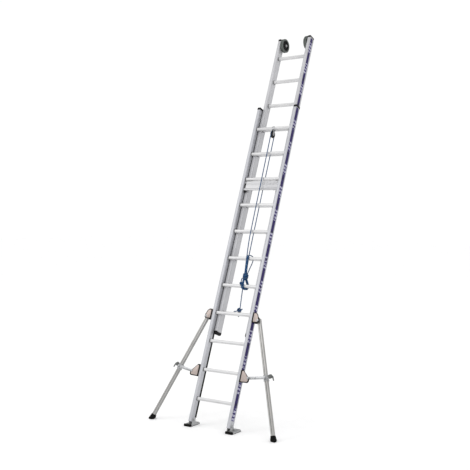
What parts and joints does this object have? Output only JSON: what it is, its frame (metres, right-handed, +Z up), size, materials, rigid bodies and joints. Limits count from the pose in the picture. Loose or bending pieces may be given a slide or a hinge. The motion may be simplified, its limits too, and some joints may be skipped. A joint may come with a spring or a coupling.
{
  "type": "extension ladder",
  "caption": "Leaning two-section aluminium extension ladder with a rope and pulley, wall wheels, swivel feet and two side stabiliser legs.",
  "frame": {"origin": "on the floor, under the middle of the leaning ladder's bounding box", "axes": "+Z up, +X to the climber's right, +Y from the climber towards the wall; the ladder leans 21.2 degrees from upright about X"},
  "size_m": [1.4602, 1.6476, 3.8557],
  "materials": {
    "stile_aluminium": "drawn aluminium tube, lightly anodised",
    "rung_aluminium": "drawn aluminium tube with fine ribs along the tread",
    "leg_aluminium": "drawn aluminium tube",
    "bright_zinc": "zinc-plated steel",
    "bracket_zinc": "zinc-plated steel with a pinkish passivation",
    "latch_steel": "folded steel sheet",
    "cast_metal": "cast metal, grey",
    "latch_black": "black oxide steel",
    "black_plastic": "moulded, fine grain",
    "black_rubber": "moulded rubber",
    "wheel_rubber": "grey-black moulded rubber tyre on a plastic disc",
    "blue_rope": "braided polypropylene rope"
  },
  "bodies": {
    "base": {"base_rung_01": "rung_aluminium", "base_rung_02": "rung_aluminium", "base_rung_03": "rung_aluminium", "base_rung_04": "rung_aluminium", "base_rung_05": "rung_aluminium", "base_rung_06": "rung_aluminium", "base_rung_07": "rung_aluminium", "base_rung_08": "rung_aluminium", "base_rung_09": "rung_aluminium", "base_rung_10": "rung_aluminium", "base_rung_11": "rung_aluminium", "base_stile_left": "stile_aluminium", "base_top_cap_left": "black_plastic", "upper_bracket_left": "bracket_zinc", "lower_bracket_left": "bracket_zinc", "base_stile_right": "stile_aluminium", "base_top_cap_right": "black_plastic", "upper_bracket_right": "bracket_zinc", "lower_bracket_right": "bracket_zinc", "pulley_bracket": "bright_zinc", "rope_fly_line": "blue_rope", "rope_hand_line": "blue_rope", "rope_hank": "blue_rope", "latch_plate": "latch_steel"},
    "fly": {"fly_rung_01": "rung_aluminium", "fly_rung_02": "rung_aluminium", "fly_rung_03": "rung_aluminium", "fly_rung_04": "rung_aluminium", "fly_rung_05": "rung_aluminium", "fly_rung_06": "rung_aluminium", "fly_rung_07": "rung_aluminium", "fly_rung_08": "rung_aluminium", "fly_rung_09": "rung_aluminium", "fly_rung_10": "rung_aluminium", "fly_rung_11": "rung_aluminium", "fly_stile_left": "stile_aluminium", "fly_top_cap_left": "black_plastic", "fly_foot_cap_left": "black_plastic", "wheel_axle_left": "bright_zinc", "fly_stile_right": "stile_aluminium", "fly_top_cap_right": "black_plastic", "fly_foot_cap_right": "black_plastic", "wheel_axle_right": "bright_zinc", "rope_eye_bolt": "bright_zinc"},
    "wheel_left": {"wall_wheel_left": "wheel_rubber"},
    "shoe_left": {"swivel_shoe_left": "cast_metal", "tread_pad_left": "black_rubber"},
    "leg_left": {"stabiliser_leg_left": "leg_aluminium", "leg_foot_left": "black_rubber"},
    "collar_left": {"sliding_collar_left": "cast_metal"},
    "tie_left": {"tie_bar_left": "bright_zinc"},
    "wheel_right": {"wall_wheel_right": "wheel_rubber"},
    "shoe_right": {"swivel_shoe_right": "cast_metal", "tread_pad_right": "black_rubber"},
    "leg_right": {"stabiliser_leg_right": "leg_aluminium", "leg_foot_right": "black_rubber"},
    "collar_right": {"sliding_collar_right": "cast_metal"},
    "tie_right": {"tie_bar_right": "bright_zinc"},
    "sheave": {"pulley_wheel": "black_plastic"},
    "latch": {"latch_pawls": "latch_black"}
  },
  "joints": [
    {"name": "fly_slide", "type": "slide", "parent": "base", "child": "fly", "axis": [0, 0.3616, 0.9323], "range_m": [-0.84, 1.12], "deforming": ["rope_fly_line"]},
    {"name": "pulley_spin", "type": "hinge", "parent": "base", "child": "sheave", "pos_m": [0, 0.28971, 2.79537], "axis": [1, 0, 0], "continuous": true},
    {"name": "latch_swing", "type": "hinge", "parent": "base", "child": "latch", "pos_m": [0, 0.07587, 2.2294], "axis": [1, 0, 0], "range_deg": [-15, 0]},
    {"name": "wheel_left_spin", "type": "hinge", "parent": "fly", "child": "wheel_left", "pos_m": [-0.142, 0.7515, 3.78323], "axis": [1, 0, 0], "continuous": true},
    {"name": "wheel_right_spin", "type": "hinge", "parent": "fly", "child": "wheel_right", "pos_m": [0.142, 0.7515, 3.78323], "axis": [1, 0, 0], "continuous": true},
    {"name": "shoe_left_swivel", "type": "hinge", "parent": "base", "child": "shoe_left", "pos_m": [-0.2195, -0.76858, 0.0578], "axis": [1, 0, 0], "range_deg": [-25, 8]},
    {"name": "shoe_right_swivel", "type": "hinge", "parent": "base", "child": "shoe_right", "pos_m": [0.2195, -0.76858, 0.0578], "axis": [1, 0, 0], "range_deg": [-25, 8]},
    {"name": "leg_left_swing", "type": "hinge", "parent": "base", "child": "leg_left", "pos_m": [-0.3, -0.40949, 0.9836], "axis": [0, 0.9323, -0.3616], "range_deg": [-18, 0]},
    {"name": "tie_left_swing", "type": "hinge", "parent": "base", "child": "tie_left", "pos_m": [-0.324, -0.60585, 0.47735], "axis": [0, 0.9323, -0.3616], "range_deg": [-94.8, 0]},
    {"name": "collar_left_slide", "type": "slide", "parent": "leg_left", "child": "collar_left", "axis": [-0.3551, -0.3381, -0.8716], "range_m": [0, 0.1645]},
    {"name": "leg_right_swing", "type": "hinge", "parent": "base", "child": "leg_right", "pos_m": [0.3, -0.40949, 0.9836], "axis": [0, 0.9323, -0.3616], "range_deg": [0, 18]},
    {"name": "tie_right_swing", "type": "hinge", "parent": "base", "child": "tie_right", "pos_m": [0.324, -0.60585, 0.47735], "axis": [0, 0.9323, -0.3616], "range_deg": [0, 94.8]},
    {"name": "collar_right_slide", "type": "slide", "parent": "leg_right", "child": "collar_right", "axis": [0.3551, -0.3381, -0.8716], "range_m": [0, 0.1645]}
  ],
  "couplings": [
    {"joint": "tie_left_swing", "follows": "leg_left_swing", "ratio": 5.2662},
    {"joint": "collar_left_slide", "follows": "leg_left_swing", "m_per_rad": -0.52344},
    {"joint": "tie_right_swing", "follows": "leg_right_swing", "ratio": 5.2662},
    {"joint": "collar_right_slide", "follows": "leg_right_swing", "m_per_rad": 0.52344},
    {"joint": "pulley_spin", "follows": "fly_slide", "rad_per_m": 31.447}
  ]
}
